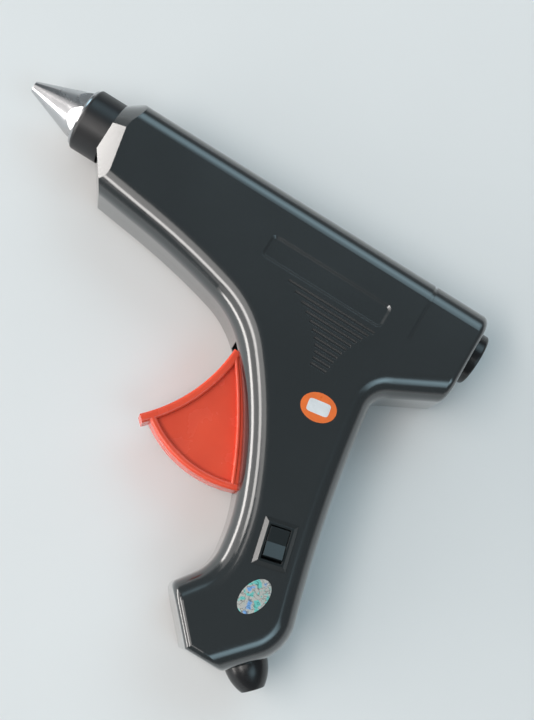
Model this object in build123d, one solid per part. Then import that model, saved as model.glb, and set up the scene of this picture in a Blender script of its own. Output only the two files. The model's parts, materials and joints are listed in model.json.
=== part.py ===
from build123d import *
import math
import os

# Trigger-fed hot glue gun, lying on its right side.
# While it is built, X runs back from the nozzle's tip, Y up from the barrel's axis and Z to the gun's left.
# Sizes are in millimetres and angles in degrees.

# Clearances
stick_bore = 12.0
slide_gap = 0.3
pin_gap = 0.05
seat_gap = 0.1
cut_past = 1.0

# Nozzle, washer and collar, from the tip backwards
nozzle_length = 21.5
nozzle_tip_radius = 2.2
nozzle_cone_angle = 20.0
nozzle_across_flats = 17.0
nozzle_hole_radius = 1.2
nozzle_socket_depth = 7.5
washer_thickness = 1.0
washer_radius = 11.3
collar_length = 11.5
collar_radius = 12.3
collar_edge = 1.2
collar_neck_radius = 9.2
collar_flange_radius = 10.0
collar_flange_thickness = 2.0

# Housing in side view
body_width = 33.0
wall = 2.5
shoulder_radius = 8.5
body_length = 156.7
barrel_top = 13.7
nose_front_drop = 11.0
nose_facet_run = 9.5
nose_arch_radius = 12.6
nose_flare_angle = 35.0
nose_lean = 12.4
nose_lead = 4.0
belly_straight_share = 0.4375
belly_slope = 7.7
belly_turn = 8.1
belly_end_setback = 71.0
belly_end_drop = 34.7
throat_setback = 51.0
throat_drop = 48.0
grip_front_setback = 25.5
grip_front_rise = 54.4
grip_low_setback = 21.2
grip_low_rise = 35.9
flare_setback = 25.0
flare_rise = 23.4
toe_setback = 29.8
toe_rise = 17.0
foot_front_setback = 14.0
foot_rear_reach = 1.2
heel_reach = 18.0
heel_rise = 17.4
hang_setback = 1.2
hang_drop = 35.3
overhang = 21.7
rear_drop = 23.0
foot_drop = 146.9
back_bow = 2.4
heel_radius = 18.0
throat_radius = 8.0
rear_edge_radius = 3.0
foot_edge_radius = 2.5

# Marks moulded into the sides
seam_setback = 24.0
seam_width = 1.2
seam_depth = 0.5
seam_drop = 12.0
plate_length = 51.0
plate_height = 9.6
plate_depth = 0.6
plate_bevel = 1.0
plate_corner = 1.0
plate_setback = 59.7
plate_drop = 9.4
vent_count = 11
vent_pitch = 2.2
vent_height = 1.1
vent_depth = 0.8
vent_drop = 16.9
vent_tip_setback = 27.9
vent_tip_length = 6.7
vent_front_flare = 22.2
vent_rear_flare = 7.7

# Screws that hold the shells together
screw_radius = 1.5
screw_head_radius = 2.8
screw_head_height = 2.0
screw_reach = 7.0
screw_seat_depth = 8.0
boss_radius = 4.2
nose_screw_setback = 10.5
nose_screw_drop = 17.5
belly_screw_setback = 73.0
belly_screw_drop = 23.0
rear_screw_setback = 8.2
rear_screw_drop = 17.0
grip_screw_setback = 8.0
grip_screw_drop = 60.0
toe_screw_setback = 20.0
toe_screw_rise = 17.9

# Melt chamber and heater
chamber_radius = 8.5
chamber_length = 56.0
chamber_sink = 3.0
chamber_nose_radius = 7.0
chamber_nose_length = 9.0
stem_radius = 4.5
glue_hole_radius = 2.0
funnel_setback = 2.0
funnel_length = 12.0
saddle_height = 1.5
heater_length = 30.0
heater_width = 12.0
heater_thickness = 5.0
heater_setback = 19.0
electrode_thickness = 0.5
electrode_margin = 0.5
insulator_thickness = 0.6
clip_thickness = 0.8
clip_length = 22.0
clip_slit = 6.0
rib_thickness = 2.0
front_rib_setback = 10.0
rear_rib_setback = 4.0

# Soft sleeve behind the chamber, and its band
sleeve_length = 14.0
sleeve_grip = 7.0
sleeve_wall = 2.2
spigot_wall = 1.4
band_thickness = 0.8
band_width = 4.0
ear_drop = 3.5
ear_thickness = 0.9
ear_gap = 1.2

# Ring for the glue stick at the rear
guide_radius = 10.2
guide_reach = 4.3
guide_neck_radius = 8.6
guide_flange_radius = 10.0
guide_flange_thickness = 2.0
guide_edge = 1.0
guide_tail = 20.0
guide_wall = 1.6
guide_mouth = 1.8

# Trigger
pivot_setback = 62.7
pivot_drop = 49.6
trigger_radius = 43.4
trigger_width = 12.4
trigger_pull = 26.0
finger_radius = 59.7
finger_thickness = 3.4
finger_top_angle = 165.0
finger_top_reach = 11.2
lip_angle = 232.7
lip_reach = 46.0
floor_thickness = 2.8
floor_start_angle = 234.5
rim_thickness = 1.6
rim_edge = 0.7
rim_step = 0.4
rim_top_reach = 10.9
rim_top_angle = 174.0
rim_low_angle = 287.5
rim_bow_radius = 170.0
slot_front_angle = 205.0
slot_rear_margin = 4.0
flange_edge = 1.1
web_thickness = 8.0
web_rear_angle = 300.0
arm_length = 29.0
arm_width = 9.0
arm_thickness = 5.6
hub_radius = 5.5
trigger_pin_radius = 2.0
trigger_pin_sink = 3.0
drive_pin_radius = 2.0

# Feed carriage and gripper jaw
carriage_length = 34.0
carriage_top = 9.5
carriage_bottom = 12.0
carriage_tail = 10.0
fork_length = 14.0
fork_cheek = 4.4
wing_height = 6.0
rail_height = 2.0
rail_depth = 2.8
rail_spare = 1.0
cheek_thickness = 3.0
lug_width = 11.0
lug_drop = 26.0
slot_play = 0.8
jaw_pin_radius = 1.5
jaw_pin_drop = 9.5
jaw_pin_setback = 4.5
jaw_nose = 3.0
jaw_length = 11.0
jaw_depth = 5.0
jaw_tooth_count = 5
jaw_tooth_height = 0.9

# Return spring
spring_side = 5.0
spring_peg_radius = 1.2
spring_peg_reach = 14.0
spring_post_setback = 10.5
spring_post_drop = 39.0
spring_wire_radius = 0.4
spring_coil_radius = 2.6
spring_hook = 3.0
spring_boss_radius = 2.8
spring_boss_gap = 2.5
spring_post_end = 1.0
spring_post_nose = 2.0

# Rocker switch on the left side of the grip
switch_rake = 13.5
switch_rise = 46.1
switch_setback = 5.7
switch_wall = 0.8
switch_depth = 10.0
bezel_lip = 1.6
bezel_height = 1.7
bezel_edge = 1.6
rocker_length = 10.6
rocker_width = 7.0
rocker_swing = 16.0
rocker_rise = 2.4
rocker_dip = 0.7
rocker_depth = 3.0
rocker_room = 2.0
rocker_axle_radius = 0.9
rocker_axle_reach = 0.5
blade_width = 4.0
blade_thickness = 0.8
blade_length = 6.0
blade_pitch = 6.0

# Strain relief and lead clamp in the foot of the grip
boot_offset = 10.0
boot_base_radius = 7.8
boot_tip_radius = 4.2
boot_bulge = 0.9
boot_length = 9.5
boot_neck_radius = 5.0
boot_flange_radius = 6.4
boot_flange_thickness = 2.0
boot_tail = 5.0
lead_radius = 2.6
clamp_inset = 18.0
clamp_length = 8.0
clamp_width = 20.0
clamp_height = 5.0
clamp_screw_spacing = 14.0
clamp_screw_depth = 6.0

# Places that follow from the sizes above
half_width = body_width / 2
hollow_width = half_width - wall
front_x = nozzle_length + washer_thickness + collar_length
rear_x = front_x + body_length
grip_x = rear_x - overhang
foot_y = -foot_drop
pivot_x = rear_x - pivot_setback
pivot_y = -pivot_drop
bore_radius = stick_bore / 2
chamber_front = front_x - chamber_sink
chamber_rear = chamber_front + chamber_length
heater_x = chamber_front + heater_setback
arm_lean = trigger_pull / 2
drive_x = pivot_x + arm_length * math.sin(math.radians(arm_lean))
drive_y = pivot_y + arm_length * math.cos(math.radians(arm_lean))
carriage_travel = 2 * arm_length * math.sin(math.radians(arm_lean))
carriage_rear = drive_x + lug_width / 2 + carriage_tail
carriage_front = carriage_rear - carriage_length
jaw_pin_x = carriage_front + jaw_pin_setback
jaw_pin_y = -jaw_pin_drop
switch_x = grip_x - switch_setback
switch_y = foot_y + switch_rise
trigger_pin_reach = hollow_width - trigger_pin_sink
carriage_half_width = hollow_width - rail_depth - slide_gap
screw_places = [
    (front_x + nose_screw_setback, -nose_screw_drop),
    (grip_x - belly_screw_setback, -belly_screw_drop),
    (rear_x - rear_screw_setback, -rear_screw_drop),
    (grip_x - grip_screw_setback, -grip_screw_drop),
    (grip_x - toe_screw_setback, foot_y + toe_screw_rise),
]

# Corners of the side outline, from the nose round the foot to the rear
belly_end = (grip_x - belly_end_setback, -belly_end_drop)
belly_start_x = front_x + belly_straight_share * (belly_end[0] - front_x)
belly_rise = (belly_end[0] - belly_start_x) * math.tan(math.radians(belly_slope + belly_turn / 2))
belly_start = (belly_start_x, belly_rise - belly_end_drop)
facet_end_x = front_x + nose_facet_run
facet_rise = (belly_start_x - facet_end_x) * math.tan(math.radians(belly_slope))
facet_end = (facet_end_x, belly_start[1] + facet_rise)
throat = (grip_x - throat_setback, -throat_drop)
grip_front = (grip_x - grip_front_setback, foot_y + grip_front_rise)
grip_low = (grip_x - grip_low_setback, foot_y + grip_low_rise)
flare = (grip_x - flare_setback, foot_y + flare_rise)
toe = (grip_x - toe_setback, foot_y + toe_rise)
foot_front = (grip_x - foot_front_setback, foot_y)
foot_rear = (grip_x + foot_rear_reach, foot_y)
heel = (grip_x + heel_reach, foot_y + heel_rise)
hang = (grip_x - hang_setback, -hang_drop)
rear_bottom = (rear_x, -rear_drop)
heel_line = (Vector(*heel) - Vector(*foot_rear)).normalized()
boot_axis = Vector(heel_line.Y, -heel_line.X)
boot_seat = Vector(*foot_rear) + heel_line * boot_offset


def rod(radius, x0, x1):
    """Round bar on the barrel's axis."""
    return Pos((x0 + x1) / 2, 0, 0) * Rot(0, 90, 0) * Cylinder(radius, x1 - x0)


def taper(r0, r1, x0, x1):
    """Cone on the barrel's axis."""
    return Pos((x0 + x1) / 2, 0, 0) * Rot(0, 90, 0) * Cone(r0, r1, x1 - x0)


def peg(radius, x, y, z0, z1):
    """Round bar across the gun."""
    return Pos(x, y, (z0 + z1) / 2) * Cylinder(radius, z1 - z0)


def slab(x0, x1, y0, y1, z0, z1):
    """Block between two corners."""
    return Pos((x0 + x1) / 2, (y0 + y1) / 2, (z0 + z1) / 2) * Box(x1 - x0, y1 - y0, z1 - z0)


def polar(radius, angle):
    """Point at a distance and an angle from the trigger's pivot."""
    turn = math.radians(angle)
    return (pivot_x + radius * math.cos(turn), pivot_y + radius * math.sin(turn))


def plate(face, z0, z1):
    """Flat piece cut from a side view, between two depths."""
    return Pos(0, 0, z0) * extrude(face, z1 - z0)


def on_boot(shape, depth):
    """Place a shape made along Z on the strain relief's axis, inwards by a depth."""
    place = boot_seat - boot_axis * depth
    frame = Plane(origin=(place.X, place.Y, 0), x_dir=(0, 0, 1), z_dir=(boot_axis.X, boot_axis.Y, 0))
    return frame * shape


def on_switch(shape):
    """Place a shape made at the origin on the grip's side, in line with the grip."""
    return Pos(switch_x, switch_y, half_width) * Rot(0, 0, switch_rake) * shape


def side_outline():
    """Housing seen from the side, barrel and grip in one."""
    edges = [Line(facet_end, belly_start)]
    bends = [belly_start, belly_end, throat, grip_front, grip_low, flare]
    for start, end in zip(bends, bends[1:]):
        edges.append(TangentArc(start, end, tangent=edges[-1] % 1))
    back_mid = (Vector(*heel) + Vector(*hang)) / 2 - Vector(back_bow, 0)
    edges += [
        Line(flare, toe),
        Line(toe, foot_front),
        Line(foot_front, foot_rear),
        Line(foot_rear, heel),
        ThreePointArc(heel, back_mid, hang),
        Line(hang, rear_bottom),
        Line(rear_bottom, (rear_x, barrel_top)),
        Line((rear_x, barrel_top), (front_x, barrel_top)),
        Line((front_x, barrel_top), (front_x, -nose_front_drop)),
        Line((front_x, -nose_front_drop), facet_end),
    ]
    face = make_face(edges)
    face = fillet(face.vertices().sort_by_distance(heel)[0], heel_radius)
    return fillet(face.vertices().sort_by_distance(hang)[0], throat_radius)


def nose_envelope(inset):
    """Taper that trims the front of the housing: an arch above the barrel's axis, a leaning bevel below."""
    far_x = rear_x + body_width
    slope = math.tan(math.radians(nose_flare_angle))
    lean = math.radians(nose_lean)

    def section(x):
        """Half of the taper in plan, from x backwards."""
        near = nose_arch_radius - inset + (x - front_x - inset) * slope
        far = near + (far_x - x) * slope
        return make_face(Plane.XZ * Polyline((x, 0), (x, near), (far_x, far), (far_x, 0), close=True))

    crown = revolve(section(front_x + inset), Axis.X, -90)
    down = (math.sin(lean), -math.cos(lean), 0)
    return crown + extrude(section(front_x + inset - nose_lead), foot_drop + body_width, dir=down)


def lies_on(edge, start, end):
    """Whether a straight edge lies over the line between two corners of the outline."""
    along = (Vector(*end) - Vector(*start)).normalized()
    ends = [Vector(*start), edge.position_at(0), edge.position_at(1)]
    return all(abs((point - ends[0]).cross(along).Z) < 0.01 for point in ends)


def half_form(inset):
    """Left half of the housing as a solid, drawn in from the outside by an inset."""
    face = side_outline()
    height = half_width - inset
    if inset:
        face = offset(face, -inset, kind=Kind.INTERSECTION)
    form = extrude(face, height)
    rim = form.edges().filter_by_position(Axis.Z, height - 0.01, height + 0.01)
    soft = []
    for edge in rim:
        middle = edge.position_at(0.5)
        on_nose = middle.X < front_x + nose_facet_run + wall and middle.Y < barrel_top - inset - 0.1
        on_rear = abs(middle.X - rear_x + inset) < 0.1
        on_foot = middle.Y < toe[1] and middle.X < foot_rear[0]
        if not (on_nose or on_rear or on_foot):
            soft.append(edge)
    form = fillet(soft, shoulder_radius - inset)
    rear_face = form.faces().sort_by(Axis.X)[-1]
    if inset < rear_edge_radius:
        form = fillet([edge for edge in rear_face.edges() if edge.center().Z > 0.1], rear_edge_radius - inset)
    if not inset:
        rim = form.edges().filter_by_position(Axis.Z, height - 0.01, height + 0.01)
        sole = [edge for edge in rim if lies_on(edge, foot_front, foot_rear)]
        sole += [edge for edge in rim if lies_on(edge, toe, foot_front)]
        form = fillet(sole, foot_edge_radius)
    return form & nose_envelope(inset)


outside = half_form(0)
hollow = half_form(wall)
core = half_form(wall / 2)


def saddle_rib(x):
    """Rib across the barrel that carries the melt chamber."""
    rib = slab(x, x + rib_thickness, -belly_end_drop, barrel_top, 0, half_width)
    return (rib & core) - rod(chamber_radius + seat_gap, x - cut_past, x + rib_thickness + cut_past)


def rails():
    """Pair of rails that guide the carriage's wing."""
    x0 = carriage_front - carriage_travel - rail_spare
    x1 = carriage_rear + rail_spare
    near = wing_height / 2 + slide_gap
    z0 = hollow_width - rail_depth
    upper = slab(x0, x1, near, near + rail_height, z0, half_width)
    lower = slab(x0, x1, -near - rail_height, -near, z0, half_width)
    return (upper + lower) & core


def pivot_arc(radius, start, end):
    """Arc about the trigger's pivot."""
    return ThreePointArc(polar(radius, start), polar(radius, (start + end) / 2), polar(radius, end))


def sector_face(radius, start, end):
    """Pie-shaped face about the trigger's pivot."""
    centre = polar(0, 0)
    arc = pivot_arc(radius, start, end)
    return make_face([Line(centre, arc @ 0), arc, Line(arc @ 1, centre)])


def trigger_slot():
    """Room that the trigger needs in the front of the grip."""
    reach = trigger_radius + slide_gap
    sector = sector_face(reach, slot_front_angle, web_rear_angle + trigger_pull + slot_rear_margin)
    around_hub = Pos(pivot_x, pivot_y) * Circle(finger_top_reach + finger_thickness)
    return plate(sector + around_hub, 0, trigger_width / 2 + slide_gap)


def shell_common():
    """Everything that both shells have, made for the left one."""
    shell = outside - hollow
    shell += saddle_rib(chamber_front + front_rib_setback)
    shell += saddle_rib(chamber_rear - rear_rib_setback)
    shell += rails()
    for x, y in screw_places:
        shell += peg(boss_radius, x, y, 0, half_width) & core
    shell -= trigger_slot()
    hub_face = trigger_width / 2 + slide_gap
    shell += peg(hub_radius, pivot_x, pivot_y, hub_face, half_width) & core
    shell -= peg(trigger_pin_radius + pin_gap / 2, pivot_x, pivot_y, 0, trigger_pin_reach + seat_gap)
    shell -= rod(collar_neck_radius + seat_gap, front_x - cut_past, front_x + wall + cut_past)
    shell -= rod(guide_neck_radius + seat_gap, rear_x - wall - cut_past, rear_x + cut_past)
    shell -= on_boot(Cylinder(boot_neck_radius + seat_gap, 4 * wall), wall / 2)
    for index in range(vent_count):
        fade = (1 - index / (vent_count - 1)) ** 2
        y = -vent_drop - index * vent_pitch
        tip_x = grip_x - vent_tip_setback
        x0 = tip_x - vent_front_flare * fade
        x1 = tip_x + vent_tip_length + vent_rear_flare * fade
        groove = slab(x0, x1, y - vent_height / 2, y + vent_height / 2, -vent_depth, cut_past)
        shell -= Pos(0, 0, half_width) * groove
    return shell


def plate_recess():
    """Sunk panel with sloping edges, about the middle of its rim."""
    sections = []
    for way in (-1, 1):
        length = plate_length + 2 * way * plate_bevel
        height = plate_height + 2 * way * plate_bevel
        corner = plate_corner + (1 + way) * plate_bevel
        sections.append(Pos(0, 0, way * plate_depth) * RectangleRounded(length, height, corner))
    return loft(sections, ruled=True)


def left_shell(common):
    """Shell on the visible side: switch opening, bare name plate, seam and spring boss."""
    shell = common
    length, width = switch_opening()
    cut = Box(width + 2 * switch_wall + 2 * seat_gap, length + 2 * switch_wall + 2 * seat_gap, 4 * wall)
    shell -= on_switch(cut)
    shell -= Pos(rear_x - plate_setback, -plate_drop, half_width) * plate_recess()
    seam_x = rear_x - seam_setback
    skin = outside - half_form(seam_depth)
    seam = slab(seam_x, seam_x + seam_width, -seam_drop, barrel_top + cut_past, 0, half_width + cut_past)
    shell -= seam & skin
    post_x, post_y = spring_post_place()
    shell += peg(spring_boss_radius, post_x, post_y, spring_side + spring_boss_gap, half_width) & core
    shell -= peg(spring_peg_radius + pin_gap / 2, post_x, post_y, 0, hollow_width - spring_post_end)
    for x, y in screw_places:
        shell -= peg(screw_radius + pin_gap, x, y, -cut_past, screw_reach + cut_past)
    return shell


def right_shell(common):
    """Shell on the resting side: screw recesses and the lower half of the lead clamp."""
    shell = mirror(common, Plane.XY)
    block = Box(hollow_width, clamp_width, clamp_length)
    block = Pos(-hollow_width / 2, 0, 0) * block
    shell += on_boot(block, clamp_inset) & mirror(core, Plane.XY)
    shell -= on_boot(Cylinder(lead_radius, clamp_length + 2 * cut_past), clamp_inset)
    for side in (-1, 1):
        hole = Rot(0, 90, 0) * Cylinder(screw_radius + pin_gap, 2 * (clamp_screw_depth + cut_past))
        hole = Pos(0, side * clamp_screw_spacing / 2, 0) * hole
        shell -= on_boot(hole, clamp_inset)
    seat = -half_width + screw_seat_depth
    for x, y in screw_places:
        shell -= peg(screw_head_radius + slide_gap, x, y, -half_width - cut_past, seat)
        shell -= peg(screw_radius + pin_gap, x, y, seat - cut_past, cut_past)
    return shell


def housing_screws():
    """Screws through the right shell into the left one."""
    seat = -half_width + screw_seat_depth
    screws = []
    for x, y in screw_places:
        head = peg(screw_head_radius, x, y, seat - screw_head_height, seat)
        shank = peg(screw_radius, x, y, seat, screw_reach)
        screws.append(head + shank)
    return screws


def nozzle():
    """Cone turned from hexagon bar, with a socket for the chamber's stem."""
    spread = nozzle_tip_radius + nozzle_length * math.tan(math.radians(nozzle_cone_angle))
    hexagon = RegularPolygon(nozzle_across_flats / 2, 6, major_radius=False)
    bar = Rot(0, 90, 0) * extrude(hexagon, nozzle_length)
    body = bar & taper(nozzle_tip_radius, spread, 0, nozzle_length)
    body -= rod(nozzle_hole_radius, -cut_past, nozzle_length)
    return body - rod(stem_radius + pin_gap, nozzle_length - nozzle_socket_depth, nozzle_length + cut_past)


def nozzle_washer():
    """Bright ring between the nozzle and the collar."""
    x1 = nozzle_length + washer_thickness
    ring = rod(washer_radius, nozzle_length, x1)
    ring -= rod(stem_radius + pin_gap, nozzle_length - cut_past, x1 + cut_past)
    rim = ring.edges().filter_by(GeomType.CIRCLE).sort_by(Axis.X)[:2].sort_by(SortBy.LENGTH)[-1]
    return fillet(rim, washer_thickness / 2)


def nozzle_collar():
    """Heat-resistant ring, held in the front wall by its neck."""
    x0 = nozzle_length + washer_thickness
    x1 = front_x + wall + seat_gap
    x2 = x1 + collar_flange_thickness
    ring = rod(collar_radius, x0, front_x)
    rims = ring.edges().filter_by(GeomType.CIRCLE)
    ring = fillet(rims.sort_by(Axis.X)[0], collar_edge)
    ring += rod(collar_neck_radius, front_x, x1) + rod(collar_flange_radius, x1, x2)
    ring -= rod(stem_radius + seat_gap, x0 - cut_past, x2)
    return ring - rod(chamber_nose_radius + seat_gap, chamber_front, x2 + cut_past)


def melt_chamber():
    """Cast tube: stem for the nozzle, funnel, bore, heater saddle and spigot."""
    stem_x = nozzle_length - nozzle_socket_depth + seat_gap
    neck_x = chamber_front + chamber_nose_length
    funnel_x = chamber_front + funnel_setback
    spigot_x = chamber_rear + sleeve_grip
    body = rod(stem_radius, stem_x, chamber_front) + rod(chamber_nose_radius, chamber_front, neck_x)
    body += rod(chamber_radius, neck_x, chamber_rear)
    body += rod(bore_radius + spigot_wall, chamber_rear, spigot_x)
    flat = -chamber_radius - saddle_height
    body += slab(heater_x, heater_x + heater_length, flat, 0, -heater_width / 2, heater_width / 2)
    body -= rod(glue_hole_radius, stem_x - cut_past, funnel_x)
    body -= taper(glue_hole_radius, bore_radius, funnel_x, funnel_x + funnel_length)
    return body - rod(bore_radius, funnel_x + funnel_length, spigot_x + cut_past)


def heater_layer(top, thickness, margin):
    """Flat layer under the chamber's saddle."""
    x1 = heater_x + heater_length - margin
    side = heater_width / 2 - margin
    return slab(heater_x + margin, x1, top - thickness, top, -side, side)


def heater_stack():
    """Heating stone between two electrodes, and the insulating channel round them."""
    top = -chamber_radius - saddle_height
    block_top = top - electrode_thickness
    block_bottom = block_top - heater_thickness
    floor = block_bottom - electrode_thickness
    electrodes = [
        heater_layer(top, electrode_thickness, electrode_margin),
        heater_layer(block_bottom, electrode_thickness, electrode_margin),
    ]
    block = heater_layer(block_top, heater_thickness, 0)
    side = heater_width / 2 + seat_gap
    outer = side + insulator_thickness
    x1 = heater_x + heater_length
    channel = slab(heater_x, x1, floor - insulator_thickness, top - seat_gap, -outer, outer)
    channel -= slab(heater_x - cut_past, x1 + cut_past, floor, top + cut_past, -side, side)
    return block, electrodes, channel


def heater_clip():
    """Spring strap that presses the heater against the chamber."""
    floor = -chamber_radius - saddle_height - 2 * electrode_thickness - heater_thickness
    floor -= insulator_thickness
    x0 = heater_x + (heater_length - clip_length) / 2
    x1 = x0 + clip_length
    inner = chamber_radius + seat_gap
    outer = inner + clip_thickness
    strap = rod(outer, x0, x1) + slab(x0, x1, floor - clip_thickness, 0, -outer, outer)
    cut_x0 = x0 - cut_past
    cut_x1 = x1 + cut_past
    strap -= rod(inner, cut_x0, cut_x1) + slab(cut_x0, cut_x1, floor, 0, -inner, inner)
    return strap - slab(cut_x0, cut_x1, 0, outer + cut_past, -clip_slit / 2, clip_slit / 2)


def inlet_sleeve():
    """Soft sleeve on the chamber's spigot, which seals round the stick."""
    x0 = chamber_rear
    x1 = x0 + sleeve_length
    grip_radius = bore_radius + spigot_wall
    sleeve = rod(grip_radius + sleeve_wall, x0, x1)
    sleeve -= rod(grip_radius + pin_gap, x0 - cut_past, x0 + sleeve_grip)
    return sleeve - rod(bore_radius, x0, x1 + cut_past)


def sleeve_clamp():
    """Steel band round the sleeve, with two ears drawn together below."""
    inner = bore_radius + spigot_wall + sleeve_wall
    outer = inner + band_thickness
    x0 = chamber_rear + (sleeve_grip - band_width) / 2
    x1 = x0 + band_width
    band = rod(outer, x0, x1)
    side = ear_gap / 2 + ear_thickness
    band += slab(x0, x1, -outer - ear_drop, -inner, -side, side)
    cut_x0 = x0 - cut_past
    cut_x1 = x1 + cut_past
    band -= rod(inner, cut_x0, cut_x1)
    return band - slab(cut_x0, cut_x1, -outer - ear_drop - cut_past, 0, -ear_gap / 2, ear_gap / 2)


def stick_guide():
    """Flanged ring in the rear wall that leads the glue stick in."""
    x1 = rear_x + guide_reach
    inside = rear_x - wall - seat_gap
    ring = rod(guide_radius, rear_x, x1)
    ring = fillet(ring.edges().filter_by(GeomType.CIRCLE).sort_by(Axis.X)[-1], guide_edge)
    ring += rod(guide_neck_radius, inside, rear_x)
    ring += rod(guide_flange_radius, inside - guide_flange_thickness, inside)
    ring += rod(bore_radius + guide_wall, rear_x - guide_tail, inside)
    ring -= rod(bore_radius, rear_x - guide_tail - cut_past, x1 + cut_past)
    return ring - taper(bore_radius, bore_radius + guide_mouth, x1 - guide_mouth, x1)


def flange(path, thickness, edge):
    """Strip as wide as the trigger along an arc, with rounded rims."""
    centre = path.arc_center
    line = [path @ 0, path @ 0.5, path @ 1]
    near = [centre + (point - centre) * (1 - thickness / 2 / path.radius) for point in line]
    far = [centre + (point - centre) * (1 + thickness / 2 / path.radius) for point in line]
    far.reverse()
    sides = [ThreePointArc(*near), ThreePointArc(*far)]
    ends = [Line(near[2], far[0]), Line(far[2], near[0])]
    strip = plate(make_face(sides + ends), -trigger_width / 2, trigger_width / 2)
    return fillet(strip.edges().filter_by(GeomType.CIRCLE), edge)


def trigger():
    """Sector with a shallow pocket on each side between flanges, a hub and an arm to the carriage."""
    finger = RadiusArc(polar(finger_top_reach, finger_top_angle), polar(lip_reach, lip_angle), finger_radius)
    side = trigger_width / 2
    middle = trigger_radius - floor_thickness / 2
    body = flange(finger, finger_thickness, flange_edge)
    floor = pivot_arc(middle, floor_start_angle, web_rear_angle)
    body += flange(floor, floor_thickness, flange_edge)
    rim = RadiusArc(polar(rim_top_reach, rim_top_angle), polar(middle, rim_low_angle), rim_bow_radius)
    body += flange(rim, rim_thickness, rim_edge)
    web = sector_face(middle, finger_top_angle, web_rear_angle)
    web -= Pos(*finger.arc_center) * Circle(finger.radius)
    body += plate(web, -web_thickness / 2, web_thickness / 2)
    shoulder = web - Pos(*rim.arc_center) * Circle(rim.radius)
    body += plate(shoulder, rim_step - side, side - rim_step)
    body += peg(hub_radius, pivot_x, pivot_y, -side, side)
    arm = SlotCenterToCenter(arm_length, arm_width)
    arm = Pos((pivot_x + drive_x) / 2, (pivot_y + drive_y) / 2) * Rot(0, 0, 90 - arm_lean) * arm
    body += plate(arm, -arm_thickness / 2, arm_thickness / 2)
    peg_x, peg_y = spring_peg_place()
    body -= peg(spring_peg_radius + pin_gap / 2, peg_x, peg_y, -side, side)
    body -= peg(drive_pin_radius + pin_gap / 2, drive_x, drive_y, -side, side)
    past = side + cut_past
    return body - peg(trigger_pin_radius + pin_gap, pivot_x, pivot_y, -past, past)


def spring_peg_place():
    """Peg on the trigger's arm that the return spring hooks on."""
    return polar(spring_peg_reach, 90 - arm_lean)


def spring_post_place():
    """Post in the left shell that the spring's other end hooks on."""
    return (grip_x - spring_post_setback, -spring_post_drop)


def trigger_spring():
    """Extension spring: a plain tube for the coil, with a link and an eye at each end."""
    start = Vector(*spring_peg_place())
    end = Vector(*spring_post_place())
    axis = (end - start).normalized()
    eye = spring_peg_radius + pin_gap
    reach = eye + 2 * spring_wire_radius
    half = (end - start).length / 2
    coil = 2 * (half - reach - spring_hook)
    link = spring_hook + spring_wire_radius
    spring = Cylinder(spring_coil_radius, coil)
    spring -= Cylinder(spring_coil_radius - 2 * spring_wire_radius, coil - 4 * spring_wire_radius)
    for way in (-1, 1):
        spring += Pos(0, 0, way * (coil + spring_hook) / 2) * Cylinder(spring_wire_radius, link)
        ring = Cylinder(reach, 2 * spring_wire_radius) - Cylinder(eye, 4 * spring_wire_radius)
        spring += Pos(0, 0, way * half) * Rot(0, 90, 0) * ring
    middle = (start + end) / 2
    return Plane((middle.X, middle.Y, spring_side), x_dir=(0, 0, 1), z_dir=(axis.X, axis.Y, 0)) * spring


def switch_opening():
    """Length and width of the opening that the rocker swings in."""
    length = 2 * math.hypot(rocker_length / 2, rocker_rise) + 2 * slide_gap
    return length, rocker_width + 2 * slide_gap


def switch_body():
    """Bezel and case of the switch, open at the top for the rocker."""
    length, width = switch_opening()
    rim = 2 * (switch_wall + bezel_lip)
    bezel = Pos(0, 0, bezel_height / 2) * Box(width + rim, length + rim, bezel_height)
    bezel = chamfer(bezel.edges().group_by(Axis.Z)[-1], bezel_edge)
    case = Pos(0, 0, -switch_depth / 2) * Box(width + 2 * switch_wall, length + 2 * switch_wall, switch_depth)
    depth = rocker_depth + rocker_room
    body = bezel + case - Box(width, length, 2 * depth)
    reach = width + 2 * rocker_axle_reach + 2 * seat_gap
    hole = Rot(0, 90, 0) * Cylinder(rocker_axle_radius + pin_gap, reach)
    return on_switch(body - hole)


def switch_rocker():
    """Rocker with a dipped top, pressed down at its upper end."""
    half = rocker_length / 2
    profile = make_face(Polyline(
        (-half, rocker_rise), (0, rocker_rise - rocker_dip), (half, rocker_rise),
        (half, 0), (half / 2, -rocker_depth), (-half / 2, -rocker_depth), (-half, 0), close=True))
    body = extrude(Plane.YZ * profile, rocker_width / 2, both=True)
    reach = switch_opening()[1] + 2 * rocker_axle_reach
    body += Rot(0, 90, 0) * Cylinder(rocker_axle_radius, reach)
    return on_switch(Rot(-rocker_swing / 2, 0, 0) * body)


def switch_terminals():
    """Blades under the switch."""
    blades = []
    for side in (-1, 1):
        blade = Box(blade_width, blade_thickness, blade_length)
        blades.append(on_switch(Pos(0, side * blade_pitch / 2, -switch_depth - blade_length / 2) * blade))
    return blades


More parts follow.
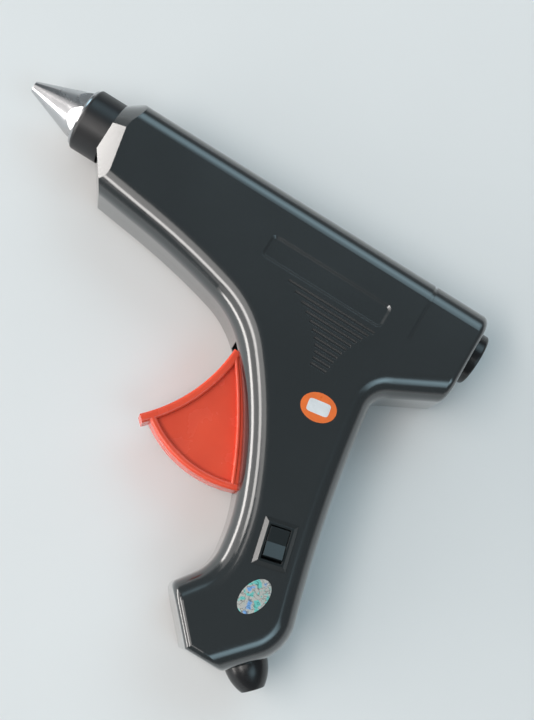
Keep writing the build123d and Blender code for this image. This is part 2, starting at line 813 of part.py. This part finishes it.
def feed_carriage():
    """Slide round the glue stick, with a fork for the jaw and a slotted lug for the drive pin."""
    block_x = carriage_front + fork_length
    body = slab(carriage_front, carriage_rear, -carriage_bottom, carriage_top,
                -carriage_half_width, carriage_half_width)
    gap = carriage_half_width - fork_cheek
    body -= slab(carriage_front - cut_past, block_x, -carriage_bottom - cut_past, carriage_top + cut_past,
                 -gap, gap)
    wing_side = hollow_width - slide_gap
    wing = wing_height / 2
    body += slab(carriage_front, carriage_rear, -wing, wing, gap, wing_side)
    body += slab(carriage_front, carriage_rear, -wing, wing, -wing_side, -gap)
    near = arm_thickness / 2 + slide_gap + seat_gap
    far = near + cheek_thickness
    lug = slab(drive_x - lug_width / 2, drive_x + lug_width / 2, -lug_drop, -carriage_bottom, -far, far)
    lug_end = -lug_drop - cut_past
    lug -= slab(drive_x - lug_width, drive_x + lug_width, lug_end, -carriage_bottom, -near, near)
    body += lug
    swing = arm_length * (1 - math.cos(math.radians(arm_lean)))
    slot_half = drive_pin_radius + seat_gap
    slot_top = drive_y + swing + drive_pin_radius + slot_play
    slot_bottom = drive_y - drive_pin_radius - slot_play
    past = far + cut_past
    body -= slab(drive_x - slot_half, drive_x + slot_half, slot_bottom, slot_top, -past, past)
    body -= rod(bore_radius + 2 * slide_gap, carriage_front - cut_past, carriage_rear + cut_past)
    side = carriage_half_width
    return body - peg(jaw_pin_radius + pin_gap / 2, jaw_pin_x, jaw_pin_y, -side, side)


def gripper_jaw():
    """Toothed jaw under the stick, which tips up and bites as the carriage runs forward."""
    side = carriage_half_width - fork_cheek - slide_gap
    top = -bore_radius - slide_gap
    x0 = jaw_pin_x - jaw_nose
    pitch = jaw_length / jaw_tooth_count
    points = [(x0 + jaw_length, top - jaw_depth), (x0, top - jaw_depth), (x0, top - jaw_tooth_height)]
    for index in range(jaw_tooth_count):
        tip_x = x0 + (index + 1) * pitch
        points += [(tip_x, top), (tip_x, top - jaw_tooth_height)]
    jaw = plate(make_face(Polyline(points, close=True)), -side, side)
    past = side + cut_past
    return jaw - peg(jaw_pin_radius + pin_gap, jaw_pin_x, jaw_pin_y, -past, past)


def cord_boot():
    """Tapered strain relief, held in the heel by a neck between two flanges."""
    side = ThreePointArc(
        (boot_base_radius, 0),
        ((boot_base_radius + boot_tip_radius) / 2 + boot_bulge, boot_length / 2),
        (boot_tip_radius, boot_length))
    profile = make_face([side, Polyline(side @ 1, (0, boot_length), (0, 0), side @ 0)])
    boot = revolve(Plane.XZ * profile, Axis.Z)
    neck = wall + seat_gap
    boot += Pos(0, 0, -neck / 2) * Cylinder(boot_neck_radius, neck)
    inner = neck + boot_flange_thickness
    boot += Pos(0, 0, -neck - boot_flange_thickness / 2) * Cylinder(boot_flange_radius, boot_flange_thickness)
    boot += Pos(0, 0, -inner - boot_tail / 2) * Cylinder(boot_neck_radius, boot_tail)
    whole = boot_length + inner + boot_tail
    boot -= Pos(0, 0, boot_length - whole / 2) * Cylinder(lead_radius, whole + 2 * cut_past)
    return on_boot(boot, 0)


def cord_clamp():
    """Saddle that presses the lead against the block in the right shell."""
    saddle = Pos(clamp_height / 2 + seat_gap, 0, 0) * Box(clamp_height, clamp_width, clamp_length)
    saddle -= Cylinder(lead_radius, clamp_length + 2 * cut_past)
    for side in (-1, 1):
        hole = Rot(0, 90, 0) * Cylinder(screw_radius + pin_gap, 4 * clamp_height)
        saddle -= Pos(0, side * clamp_screw_spacing / 2, 0) * hole
    return on_boot(saddle, clamp_inset)


def cord_clamp_screws():
    """Pair of screws through the saddle."""
    screws = []
    top = clamp_height + seat_gap
    for side in (-1, 1):
        head = Pos(0, 0, top + screw_head_height / 2) * Cylinder(screw_head_radius, screw_head_height)
        shank = Pos(0, 0, (top - clamp_screw_depth) / 2) * Cylinder(screw_radius, top + clamp_screw_depth)
        screw = Rot(0, 90, 0) * (head + shank)
        screws.append(on_boot(Pos(0, side * clamp_screw_spacing / 2, 0) * screw, clamp_inset))
    return screws


def build_parts():
    """Every piece by name, in the gun's own frame."""
    common = shell_common()
    heater_block, heater_electrodes, heater_insulator = heater_stack()
    side = trigger_width / 2
    post_x, post_y = spring_post_place()
    post_end = hollow_width - spring_post_end
    peg_x, peg_y = spring_peg_place()
    lug_side = arm_thickness / 2 + slide_gap + seat_gap + cheek_thickness
    return {
        "left_shell": left_shell(common),
        "right_shell": right_shell(common),
        "housing_screws": housing_screws(),
        "nozzle": nozzle(),
        "nozzle_washer": nozzle_washer(),
        "nozzle_collar": nozzle_collar(),
        "melt_chamber": melt_chamber(),
        "heater_block": heater_block,
        "heater_electrodes": heater_electrodes,
        "heater_insulator": heater_insulator,
        "heater_clip": heater_clip(),
        "inlet_sleeve": inlet_sleeve(),
        "sleeve_clamp": sleeve_clamp(),
        "stick_guide": stick_guide(),
        "trigger": trigger(),
        "trigger_pin": peg(trigger_pin_radius, pivot_x, pivot_y, -trigger_pin_reach, trigger_pin_reach),
        "drive_pin": peg(drive_pin_radius, drive_x, drive_y, -lug_side, lug_side),
        "spring_peg": peg(spring_peg_radius, peg_x, peg_y, -arm_thickness / 2, side),
        "spring_post": peg(spring_peg_radius, post_x, post_y, spring_side - spring_post_nose, post_end),
        "trigger_spring": trigger_spring(),
        "feed_carriage": feed_carriage(),
        "gripper_jaw": gripper_jaw(),
        "gripper_pin": peg(jaw_pin_radius, jaw_pin_x, jaw_pin_y, -carriage_half_width, carriage_half_width),
        "switch_body": switch_body(),
        "switch_rocker": switch_rocker(),
        "switch_terminals": switch_terminals(),
        "cord_boot": cord_boot(),
        "cord_clamp": cord_clamp(),
        "cord_clamp_screws": cord_clamp_screws(),
    }


def solids_of(piece):
    """Solids of a piece, or of a list of like pieces."""
    parts = piece if isinstance(piece, list) else [piece]
    return [solid for part in parts for solid in part.solids()]


pieces = {name: solids_of(piece) for name, piece in build_parts().items()}
box = Compound([solid for solids in pieces.values() for solid in solids]).bounding_box()
to_origin = Vector(-box.center().X, -box.center().Y, -box.min.Z)
os.makedirs("parts", exist_ok=True)
for name, solids in pieces.items():
    placed = [Pos(to_origin) * solid for solid in solids]
    export_step(placed[0] if len(placed) == 1 else Compound(placed), f"parts/{name}.step")
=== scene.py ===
import json
import math

import bmesh
import bpy
from mathutils import Matrix, Vector


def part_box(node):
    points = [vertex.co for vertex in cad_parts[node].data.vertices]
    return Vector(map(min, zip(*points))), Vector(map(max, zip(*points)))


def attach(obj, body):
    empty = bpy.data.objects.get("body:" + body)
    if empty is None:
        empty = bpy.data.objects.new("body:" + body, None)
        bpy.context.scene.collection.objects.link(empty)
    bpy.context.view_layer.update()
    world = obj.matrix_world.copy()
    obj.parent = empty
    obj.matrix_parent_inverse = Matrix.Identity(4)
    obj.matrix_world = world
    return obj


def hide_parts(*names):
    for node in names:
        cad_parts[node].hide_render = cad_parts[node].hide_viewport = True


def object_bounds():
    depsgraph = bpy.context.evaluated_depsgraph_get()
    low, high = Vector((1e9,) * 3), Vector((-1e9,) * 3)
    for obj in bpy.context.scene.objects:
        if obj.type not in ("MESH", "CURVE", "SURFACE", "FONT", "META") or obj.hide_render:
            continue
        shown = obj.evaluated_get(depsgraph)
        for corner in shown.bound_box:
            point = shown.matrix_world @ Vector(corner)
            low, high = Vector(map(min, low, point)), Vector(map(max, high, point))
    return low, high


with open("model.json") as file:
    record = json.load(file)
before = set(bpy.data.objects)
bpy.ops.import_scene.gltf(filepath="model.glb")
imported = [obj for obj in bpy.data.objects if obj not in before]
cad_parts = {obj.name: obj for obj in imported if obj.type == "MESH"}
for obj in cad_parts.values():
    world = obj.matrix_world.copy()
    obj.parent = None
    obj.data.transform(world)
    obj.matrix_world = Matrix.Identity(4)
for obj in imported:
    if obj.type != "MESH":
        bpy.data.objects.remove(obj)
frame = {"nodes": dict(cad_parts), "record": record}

# Places in the model, read from the frame, in metres
MM = 0.001
cad_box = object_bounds()
inlet = next(mount for mount in frame["record"]["mounts"] if mount["name"] == "glue_stick_inlet")
tip_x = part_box("nozzle")[0].x
axis_y = inlet["pos_m"][1]
middle_z = inlet["pos_m"][2]
side_reach = (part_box("left_shell")[1].z - middle_z) / MM

# Floor, in metres
floor_reach = 5.0
floor_gap = 0.1 * MM

# Meshes: the angle in degrees from which an edge is sharp, and how near in millimetres two places are one
sharp_angle = 35.0
same_place = 0.001

# Rays that a material takes to round an edge
edge_samples = 6

# Camera of the photograph: places in millimetres back from the nozzle's tip, up from the barrel's axis
# and to the gun's left of the parting plane, and the near limit in metres
image_size = (534, 720)
focal_pixels = 1291.0
sensor_long_side = 36.0
camera_near = 0.01
camera_place = (115.92, -155.94, 463.08)
camera_aim = (127.81, -42.31, 0.0)
camera_up = Vector((-0.527, 0.828, 0.190))

# Stickers on the left side, in millimetres and degrees in the same frame
badge_centre = (151.9, -51.2)
badge_size = (13.6, 10.6)
badge_turn = 7.0
panel_size = (8.4, 4.9)
panel_squareness = 6.0
panel_turn = 9.5
foil_centre = (166.1, -119.8)
foil_size = (9.0, 14.2)
foil_turn = -15.0
sticker_thickness = 0.06
panel_thickness = 0.03
sticker_rings = 6
sticker_sides = 96

# Housing screws, in millimetres
screw_rings = 20
screw_sides = 96
screw_dome = 0.35
cross_width = 0.95
cross_length = 3.2
cross_depth = 1.0
cross_wall = 0.2
thread_pitch = 1.25
thread_depth = 0.35

# Colours, linear
shell_black = (0.0125, 0.0162, 0.0175, 1.0)
shell_scuff = (0.026, 0.031, 0.036, 1.0)
collar_black = (0.010, 0.010, 0.011, 1.0)
trigger_red = (0.80, 0.088, 0.040, 1.0)
trigger_deep = (0.70, 0.066, 0.030, 1.0)
chrome_grey = (0.54, 0.54, 0.55, 1.0)
steel_grey = (0.50, 0.50, 0.51, 1.0)
sticker_orange = (0.80, 0.16, 0.028, 1.0)
sticker_white = (0.70, 0.71, 0.72, 1.0)
foil_silver = (0.60, 0.58, 0.54, 1.0)
foil_cyan = (0.20, 0.66, 0.60, 1.0)
foil_blue = (0.22, 0.46, 0.85, 1.0)
aluminium_grey = (0.62, 0.62, 0.63, 1.0)
stone_grey = (0.36, 0.34, 0.31, 1.0)
brass_yellow = (0.62, 0.42, 0.14, 1.0)
film_amber = (0.45, 0.19, 0.03, 1.0)
silicone_red = (0.32, 0.03, 0.018, 1.0)
nylon_cream = (0.68, 0.66, 0.58, 1.0)
floor_pale = (0.72, 0.72, 0.715, 1.0)
floor_shade = (0.70, 0.70, 0.695, 1.0)
floor_light = (0.74, 0.74, 0.735, 1.0)
lamp_white = (1.0, 0.96, 0.93)
lamp_blue = (0.60, 0.87, 1.0)
sky_colour = (0.174, 0.190, 0.200, 1.0)
horizon_colour = (0.62, 0.635, 0.64, 1.0)

# Shares of a colour left in the foil's lines and in the shade of a printed film
foil_ink = 0.35
film_shade = 0.88

# How far red, green and blue light spread in the trigger's plastic, as shares of the shader's own scale
trigger_bleed = (0.004, 0.001, 0.0006)

# Heights, as the sine of the elevation, between which the pale horizon fades into the sky
horizon_fade = (0.02, 0.18)

# Lamps, with their distance and the gap between their steps in metres. Each has a name, an azimuth, an
# elevation, a width and a height in degrees, a radiance, a colour and a number of steps
lamp_distance = 9.0
lamp_step = 0.1
lamps = (
    ("key", 230, 66, (36, 36), 1.7, lamp_white, 1),
    ("strip_high", 219, 52, (48, 12), 6.0, lamp_white, 1),
    ("glow", 205, 29, (76, 34), 0.9, lamp_white, 1),
    ("strip_low", 205, 9, (76, 13), 8.4, lamp_white, 1),
    ("fill", 340, 54, (42, 28), 3.0, lamp_blue, 6),
    ("barrel", 90, 46, (66, 42), 2.2, lamp_blue, 6),
)


def gun_point(x, y, z):
    """Point given in millimetres from the nozzle's tip, the barrel's axis and the parting plane."""
    return Vector((tip_x + x * MM, axis_y + y * MM, middle_z + z * MM))


class Shader:
    """A material with its principled shader and small helpers to wire detail into it."""

    def __init__(self, name, colour, roughness, metallic=0.0):
        self.material = bpy.data.materials.new(name)
        self.material.use_nodes = True
        self.tree = self.material.node_tree
        self.surface = self.tree.nodes["Principled BSDF"]
        self.set("Base Color", colour)
        self.set("Roughness", roughness)
        self.set("Metallic", metallic)
        self.normal = None

    def set(self, socket, value):
        """Give an input of the shader a value."""
        self.surface.inputs[socket].default_value = value

    def add(self, kind, **inputs):
        """New node with values for its inputs, where an underscore stands for a blank in a name."""
        node = self.tree.nodes.new(kind)
        for socket, value in inputs.items():
            node.inputs[socket.replace("_", " ")].default_value = value
        return node

    def link(self, output, target):
        """Wire an output to the input of another node."""
        self.tree.links.new(output, target)

    def place(self, scale=(1, 1, 1)):
        """Object coordinates, in metres, stretched along the axes."""
        coords = self.add("ShaderNodeTexCoord")
        mapping = self.add("ShaderNodeMapping", Scale=scale)
        self.link(coords.outputs["Object"], mapping.inputs["Vector"])
        return mapping.outputs["Vector"]

    def noise(self, scale, detail=4.0, rough=0.55, stretch=(1, 1, 1)):
        """Noise over the object, finer with a larger scale."""
        node = self.add("ShaderNodeTexNoise", Scale=scale, Detail=detail, Roughness=rough)
        self.link(self.place(stretch), node.inputs["Vector"])
        return node.outputs["Fac"]

    def bands(self, value, *stops):
        """Value mapped through stops, each a position and a grey level or colour."""
        node = self.add("ShaderNodeValToRGB")
        made = node.color_ramp.elements
        for index, (position, colour) in enumerate(stops):
            stop = made[index] if index < len(made) else made.new(position)
            stop.position = position
            stop.color = colour if isinstance(colour, tuple) else (colour, colour, colour, 1)
        self.link(value, node.inputs["Fac"])
        return node.outputs["Color"]

    def ramp(self, value, low, high, first, last):
        """Value mapped from low and high to two grey levels or colours."""
        return self.bands(value, (low, first), (high, last))

    def to(self, output, socket):
        """Wire an output to an input of the shader."""
        self.link(output, self.surface.inputs[socket])

    def bump(self, height, strength, distance):
        """Another layer of relief over those already there."""
        node = self.add("ShaderNodeBump", Strength=strength, Distance=distance)
        self.link(height, node.inputs["Height"])
        if self.normal:
            self.link(self.normal, node.inputs["Normal"])
        self.normal = node.outputs["Normal"]
        self.link(self.normal, self.surface.inputs["Normal"])

    def soft_edges(self, radius):
        """Edges that catch the light as if they were slightly rounded."""
        node = self.add("ShaderNodeBevel", Radius=radius)
        node.samples = edge_samples
        self.normal = node.outputs["Normal"]
        self.link(self.normal, self.surface.inputs["Normal"])


def shell_plastic():
    """Glossy black moulded plastic with a faint grain, handling haze and dust."""
    shader = Shader("shell_plastic", shell_black, roughness=0.3)
    shader.set("Coat Weight", 1.0)
    shader.set("Coat Roughness", 0.12)
    shader.set("Coat IOR", 1.65)
    shader.soft_edges(radius=0.35 * MM)
    haze = shader.noise(scale=26.0, detail=5.0, rough=0.6)
    shader.to(shader.ramp(haze, low=0.3, high=0.75, first=0.15, last=0.25), "Roughness")
    scuff = shader.noise(scale=900.0, detail=3.0, rough=0.7, stretch=(1.0, 0.35, 1.0))
    shader.to(shader.ramp(scuff, low=0.66, high=0.82, first=shell_black, last=shell_scuff), "Base Color")
    shader.bump(shader.noise(scale=2600.0, detail=2.0, rough=0.5), strength=0.10, distance=0.04 * MM)
    shader.bump(shader.noise(scale=45.0, detail=2.0, rough=0.4), strength=0.25, distance=0.25 * MM)
    return shader.material


def satin_plastic(name, colour, roughness):
    """Satin plastic with a fine moulded grain."""
    shader = Shader(name, colour, roughness)
    shader.soft_edges(radius=0.25 * MM)
    haze = shader.noise(scale=60.0)
    shader.to(shader.ramp(haze, low=0.3, high=0.75, first=roughness - 0.06, last=roughness + 0.1),
              "Roughness")
    shader.bump(shader.noise(scale=3200.0, detail=2.0), strength=0.2, distance=0.05 * MM)
    return shader.material


def trigger_plastic():
    """Glossy orange-red plastic, slightly deeper in patches."""
    shader = Shader("trigger_plastic", trigger_red, roughness=0.24)
    shader.set("Subsurface Weight", 0.08)
    shader.set("Subsurface Radius", trigger_bleed)
    shader.set("Coat Weight", 0.15)
    shader.set("Coat Roughness", 0.1)
    tone = shader.noise(scale=38.0)
    shader.to(shader.ramp(tone, low=0.3, high=0.7, first=trigger_deep, last=trigger_red), "Base Color")
    haze = shader.noise(scale=90.0, detail=3.0)
    shader.to(shader.ramp(haze, low=0.3, high=0.8, first=0.2, last=0.34), "Roughness")
    shader.bump(shader.noise(scale=700.0, detail=2.0), strength=0.05, distance=0.02 * MM)
    return shader.material


def turned_metal(name, colour, roughness, groove):
    """Bright metal with the fine rings that a lathe leaves along the barrel's axis."""
    shader = Shader(name, colour, roughness, metallic=1.0)
    shader.soft_edges(radius=0.2 * MM)
    rings = shader.noise(scale=1.0, detail=3.0, rough=0.6, stretch=(groove, 1.0, 1.0))
    smudge = shader.noise(scale=120.0, rough=0.6)
    shader.to(shader.ramp(smudge, low=0.35, high=0.75, first=roughness - 0.08, last=roughness + 0.16),
              "Roughness")
    shader.bump(rings, strength=0.25, distance=0.05 * MM)
    shader.bump(shader.noise(scale=160.0, detail=3.0), strength=0.2, distance=0.08 * MM)
    return shader.material


def plain_metal(name, colour, roughness):
    """Steel, brass or cast metal with faint streaks."""
    shader = Shader(name, colour, roughness, metallic=1.0)
    shader.soft_edges(radius=0.15 * MM)
    streaks = shader.noise(scale=700.0, detail=3.0, rough=0.6, stretch=(0.2, 1.0, 1.0))
    shader.to(shader.ramp(streaks, low=0.3, high=0.75, first=roughness - 0.08, last=roughness + 0.12),
              "Roughness")
    shader.bump(streaks, strength=0.12, distance=0.03 * MM)
    return shader.material


def soft_rubber(name, colour):
    """Matt rubber or silicone with a dry bloom."""
    shader = Shader(name, colour, roughness=0.55)
    shader.soft_edges(radius=0.3 * MM)
    bloom = shader.noise(scale=140.0)
    shader.to(shader.ramp(bloom, low=0.3, high=0.75, first=0.45, last=0.7), "Roughness")
    shader.bump(shader.noise(scale=1800.0, detail=3.0), strength=0.25, distance=0.05 * MM)
    return shader.material


def printed_film(name, colour):
    """Printed plastic film, faintly wrinkled."""
    shader = Shader(name, colour, roughness=0.32)
    shader.set("Coat Weight", 0.3)
    shade = tuple(film_shade * part for part in colour[:3]) + (1.0,)
    tone = shader.noise(scale=300.0, detail=3.0)
    shader.to(shader.ramp(tone, low=0.3, high=0.75, first=colour, last=shade), "Base Color")
    haze = shader.noise(scale=400.0)
    shader.to(shader.ramp(haze, low=0.3, high=0.75, first=0.26, last=0.42), "Roughness")
    shader.bump(shader.noise(scale=500.0), strength=0.15, distance=0.04 * MM)
    return shader.material


def foil_material():
    """Silvery foil with a fine relief and lines, which breaks into patches of cyan and blue."""
    shader = Shader("foil_print", foil_silver, roughness=0.3, metallic=0.6)
    patches = shader.bands(shader.noise(scale=330.0, detail=2.0, rough=0.5), (0.42, foil_cyan),
                           (0.47, foil_silver), (0.58, foil_silver), (0.66, foil_blue))
    ink = shader.bands(shader.noise(scale=520.0, detail=1.0, rough=0.5), (0.46, 1.0), (0.50, foil_ink),
                       (0.54, 1.0))
    print_over = shader.add("ShaderNodeMixRGB", Fac=1.0)
    print_over.blend_type = "MULTIPLY"
    shader.link(patches, print_over.inputs["Color1"])
    shader.link(ink, print_over.inputs["Color2"])
    shader.to(print_over.outputs["Color"], "Base Color")
    cells = shader.add("ShaderNodeTexVoronoi", Scale=1500.0)
    shader.link(shader.place(), cells.inputs["Vector"])
    relief = cells.outputs["Distance"]
    shader.to(shader.ramp(relief, low=0.0, high=1.0, first=0.22, last=0.5), "Roughness")
    shader.bump(relief, strength=0.35, distance=0.05 * MM)
    return shader.material


def floor_material():
    """Plain pale paper, faintly uneven."""
    shader = Shader("floor_paper", floor_pale, roughness=0.75)
    shade = shader.noise(scale=5.0, detail=3.0)
    shader.to(shader.ramp(shade, low=0.2, high=0.8, first=floor_shade, last=floor_light), "Base Color")
    return shader.material


def dress(material, *names):
    """Give CAD nodes a material."""
    for name in names:
        mesh = frame["nodes"][name].data
        mesh.materials.clear()
        mesh.materials.append(material)


def skin(bm, rows):
    """Faces between rings of points, closed at the first and the last ring."""
    bm.faces.new(rows[0])
    for inner, outer in zip(rows, rows[1:]):
        for step, point in enumerate(inner):
            after = (step + 1) % len(inner)
            bm.faces.new((point, outer[step], outer[after], inner[after]))
    bm.faces.new(rows[-1][::-1])
    bmesh.ops.recalc_face_normals(bm, faces=bm.faces)


def piece(name, bm, material, body="body"):
    """Object of the scene from a mesh in the making, which rides on a body."""
    mesh = bpy.data.meshes.new(name)
    bm.to_mesh(mesh)
    bm.free()
    for polygon in mesh.polygons:
        polygon.use_smooth = True
    mesh.set_sharp_from_angle(angle=math.radians(sharp_angle))
    mesh.materials.append(material)
    made = bpy.data.objects.new(name, mesh)
    bpy.context.scene.collection.objects.link(made)
    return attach(made, body)


def sticker(name, centre, size, turn, material, lift=0.0, thickness=sticker_thickness, squareness=2.0):
    """Thin oval or rounded panel lying on the side face, lowered a little at its rim."""
    bm = bmesh.new()
    turned = Matrix.Translation(gun_point(*centre, side_reach + lift)) @ Matrix.Rotation(
        math.radians(turn), 4, "Z")
    levels = [(ring / sticker_rings, thickness) for ring in range(1, sticker_rings)]
    rows = []
    for share, level in levels + [(1.0, thickness / 2), (1.0, 0.0)]:
        row = []
        for step in range(sticker_sides):
            angle = 2 * math.pi * step / sticker_sides
            across, up = math.cos(angle), math.sin(angle)
            x = size[0] / 2 * share * math.copysign(abs(across) ** (2 / squareness), across)
            y = size[1] / 2 * share * math.copysign(abs(up) ** (2 / squareness), up)
            row.append(bm.verts.new(turned @ Vector((x * MM, y * MM, level * MM))))
        rows.append(row)
    skin(bm, rows)
    return piece(name, bm, material)


def islands(mesh):
    """Points of each separate solid of a mesh, in the order of the mesh."""
    bm = bmesh.new()
    bm.from_mesh(mesh)
    bmesh.ops.remove_doubles(bm, verts=bm.verts, dist=same_place * MM)
    seen = set()
    groups = []
    for first in bm.verts:
        if first in seen:
            continue
        seen.add(first)
        group = [first]
        for vert in group:
            near = [edge.other_vert(vert) for edge in vert.link_edges]
            fresh = [other for other in near if other not in seen]
            seen.update(fresh)
            group += fresh
        groups.append([vert.co.copy() for vert in group])
    bm.free()
    return groups


def recess(x, y):
    """Depth of the cross recess at a place on a screw's head, in millimetres."""
    near, far = sorted((abs(x), abs(y)))
    across = (cross_width / 2 - near) / cross_wall + 1
    along = (cross_length / 2 - far) / cross_wall + 1
    return cross_depth * min(1.0, max(0.0, across)) * min(1.0, max(0.0, along))


def screw(bm, points):
    """Screw with a domed, cross-recessed head and a thread, in the room of a plain one."""
    low = [min(point[axis] for point in points) / MM for axis in range(3)]
    high = [max(point[axis] for point in points) / MM for axis in range(3)]
    middle = ((low[0] + high[0]) / 2, (low[1] + high[1]) / 2)
    reach = [(math.hypot(point.x / MM - middle[0], point.y / MM - middle[1]), point.z / MM)
             for point in points]
    head = max(radius for radius, level in reach)
    shank = max(radius for radius, level in reach if level > high[2] - same_place)
    seat = max(level for radius, level in reach if radius > (head + shank) / 2)
    lathe = []
    for ring in range(1, screw_rings + 1):
        radius = head * ring / screw_rings
        lathe.append((radius, low[2] + screw_dome * (radius / head) ** 2))
    lathe += [(head, seat), (shank, seat)]
    for turn in range(1, int((high[2] - seat) / thread_pitch)):
        level = seat + turn * thread_pitch
        lathe += [(shank - thread_depth, level), (shank, level + thread_pitch / 2)]
    lathe.append((shank - thread_depth, high[2]))
    rows = []
    for index, (radius, level) in enumerate(lathe):
        row = []
        for step in range(screw_sides):
            angle = 2 * math.pi * step / screw_sides
            x, y = radius * math.cos(angle), radius * math.sin(angle)
            sunk = recess(x, y) if index < screw_rings else 0.0
            row.append(bm.verts.new(MM * Vector((middle[0] + x, middle[1] + y, level + sunk))))
        rows.append(row)
    skin(bm, rows)


def add_screws():
    """Housing screws in place of the plain ones."""
    bm = bmesh.new()
    for points in islands(frame["nodes"]["housing_screws"].data):
        screw(bm, points)
    screws = piece("screws", bm, plain_metal("screw_steel", steel_grey, roughness=0.28))
    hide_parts("housing_screws")


def add_floor():
    """Pale sheet under the gun."""
    bm = bmesh.new()
    bmesh.ops.create_grid(bm, x_segments=1, y_segments=1, size=floor_reach)
    mesh = bpy.data.meshes.new("floor")
    bm.to_mesh(mesh)
    bm.free()
    mesh.materials.append(floor_material())
    floor = bpy.data.objects.new("floor", mesh)
    floor.location.z = cad_box[0][2] - floor_gap
    bpy.context.scene.collection.objects.link(floor)


def add_lamp(name, azimuth, elevation, size, radiance, colour, steps):
    """Lamp that faces the gun, as nested rectangles: with more steps its mirrored edges are softer."""
    along, up = math.radians(azimuth), math.radians(elevation)
    towards = Vector((math.cos(along) * math.cos(up), math.sin(along) * math.cos(up), math.sin(up)))
    for step in range(steps):
        width, height = (2 * lamp_distance * math.tan(math.radians(angle / 2)) * (1 - step / steps)
                         for angle in size)
        lamp = bpy.data.lights.new(f"{name}_{step}", "AREA")
        lamp.shape = "RECTANGLE"
        lamp.size, lamp.size_y = width, height
        lamp.energy = math.pi * width * height * radiance / steps
        lamp.color = colour
        holder = bpy.data.objects.new(lamp.name, lamp)
        holder.location = (lamp_distance - step * lamp_step) * towards
        holder.rotation_euler = (-towards).to_track_quat("-Z", "Y").to_euler()
        bpy.context.scene.collection.objects.link(holder)


def add_light():
    """Soft studio light: pale strips before the grip and nose, cooler panels beyond the barrel and butt."""
    for lamp in lamps:
        add_lamp(*lamp)


def add_sky():
    """Dim sky, with a paler horizon for the rays of the camera and those reflected or let through."""
    world = bpy.data.worlds.new("studio")
    world.use_nodes = True
    nodes, links = world.node_tree.nodes, world.node_tree.links
    height = nodes.new("ShaderNodeSeparateXYZ")
    links.new(nodes.new("ShaderNodeTexCoord").outputs["Generated"], height.inputs["Vector"])
    share = nodes.new("ShaderNodeMapRange")
    share.inputs["From Min"].default_value, share.inputs["From Max"].default_value = horizon_fade
    share.inputs["To Min"].default_value, share.inputs["To Max"].default_value = 1.0, 0.0
    links.new(height.outputs["Z"], share.inputs["Value"])
    path = nodes.new("ShaderNodeLightPath")
    seen = path.outputs["Is Camera Ray"]
    for ray in ("Is Glossy Ray", "Is Transmission Ray"):
        either = nodes.new("ShaderNodeMath")
        either.operation = "MAXIMUM"
        links.new(seen, either.inputs[0])
        links.new(path.outputs[ray], either.inputs[1])
        seen = either.outputs["Value"]
    pale = nodes.new("ShaderNodeMath")
    pale.operation = "MULTIPLY"
    links.new(seen, pale.inputs[0])
    links.new(share.outputs["Result"], pale.inputs[1])
    sky = nodes.new("ShaderNodeMixRGB")
    sky.inputs["Color1"].default_value = sky_colour
    sky.inputs["Color2"].default_value = horizon_colour
    links.new(pale.outputs["Value"], sky.inputs["Fac"])
    links.new(sky.outputs["Color"], nodes["Background"].inputs["Color"])
    bpy.context.scene.world = world


def add_camera():
    """Camera at the photograph's place, with the photograph's lens."""
    data = bpy.data.cameras.new("camera")
    data.sensor_width = sensor_long_side
    data.lens = focal_pixels / max(image_size) * sensor_long_side
    data.clip_start = camera_near
    camera = bpy.data.objects.new("camera", data)
    place = gun_point(*camera_place)
    back = (place - gun_point(*camera_aim)).normalized()
    right = camera_up.cross(back).normalized()
    up = back.cross(right)
    turn = Matrix((right, up, back)).transposed().to_4x4()
    camera.matrix_world = Matrix.Translation(place) @ turn
    bpy.context.scene.collection.objects.link(camera)
    bpy.context.scene.camera = camera


def add_materials():
    """Materials of the CAD nodes."""
    dress(shell_plastic(), "left_shell", "right_shell")
    dress(satin_plastic("collar_plastic", collar_black, roughness=0.36), "nozzle_collar")
    dress(satin_plastic("guide_plastic", collar_black, roughness=0.2), "stick_guide")
    dress(satin_plastic("switch_plastic", shell_black, roughness=0.16), "switch_body", "switch_rocker",
          "cord_clamp")
    dress(trigger_plastic(), "trigger")
    dress(turned_metal("nozzle_metal", chrome_grey, roughness=0.22, groove=2600.0), "nozzle")
    dress(turned_metal("washer_metal", chrome_grey, roughness=0.2, groove=900.0), "nozzle_washer")
    dress(plain_metal("cast_aluminium", aluminium_grey, roughness=0.42), "melt_chamber")
    dress(satin_plastic("heater_stone", stone_grey, roughness=0.7), "heater_block")
    dress(plain_metal("brass", brass_yellow, roughness=0.3), "heater_electrodes", "switch_terminals")
    dress(satin_plastic("amber_film", film_amber, roughness=0.35), "heater_insulator")
    dress(plain_metal("steel", steel_grey, roughness=0.3), "heater_clip", "sleeve_clamp", "trigger_pin",
          "drive_pin", "spring_peg", "spring_post", "trigger_spring", "gripper_jaw", "gripper_pin",
          "cord_clamp_screws")
    dress(soft_rubber("silicone", silicone_red), "inlet_sleeve")
    dress(satin_plastic("nylon", nylon_cream, roughness=0.45), "feed_carriage")
    dress(satin_plastic("boot_plastic", collar_black, roughness=0.2), "cord_boot")


add_materials()
sticker("badge", badge_centre, badge_size, badge_turn, printed_film("badge_print", sticker_orange))
sticker("badge_panel", badge_centre, panel_size, panel_turn, printed_film("panel_print", sticker_white),
        lift=sticker_thickness, thickness=panel_thickness, squareness=panel_squareness)
sticker("foil", foil_centre, foil_size, foil_turn, foil_material())
add_screws()
add_floor()
add_light()
add_sky()
add_camera()
bpy.context.scene.view_settings.view_transform = "Standard"
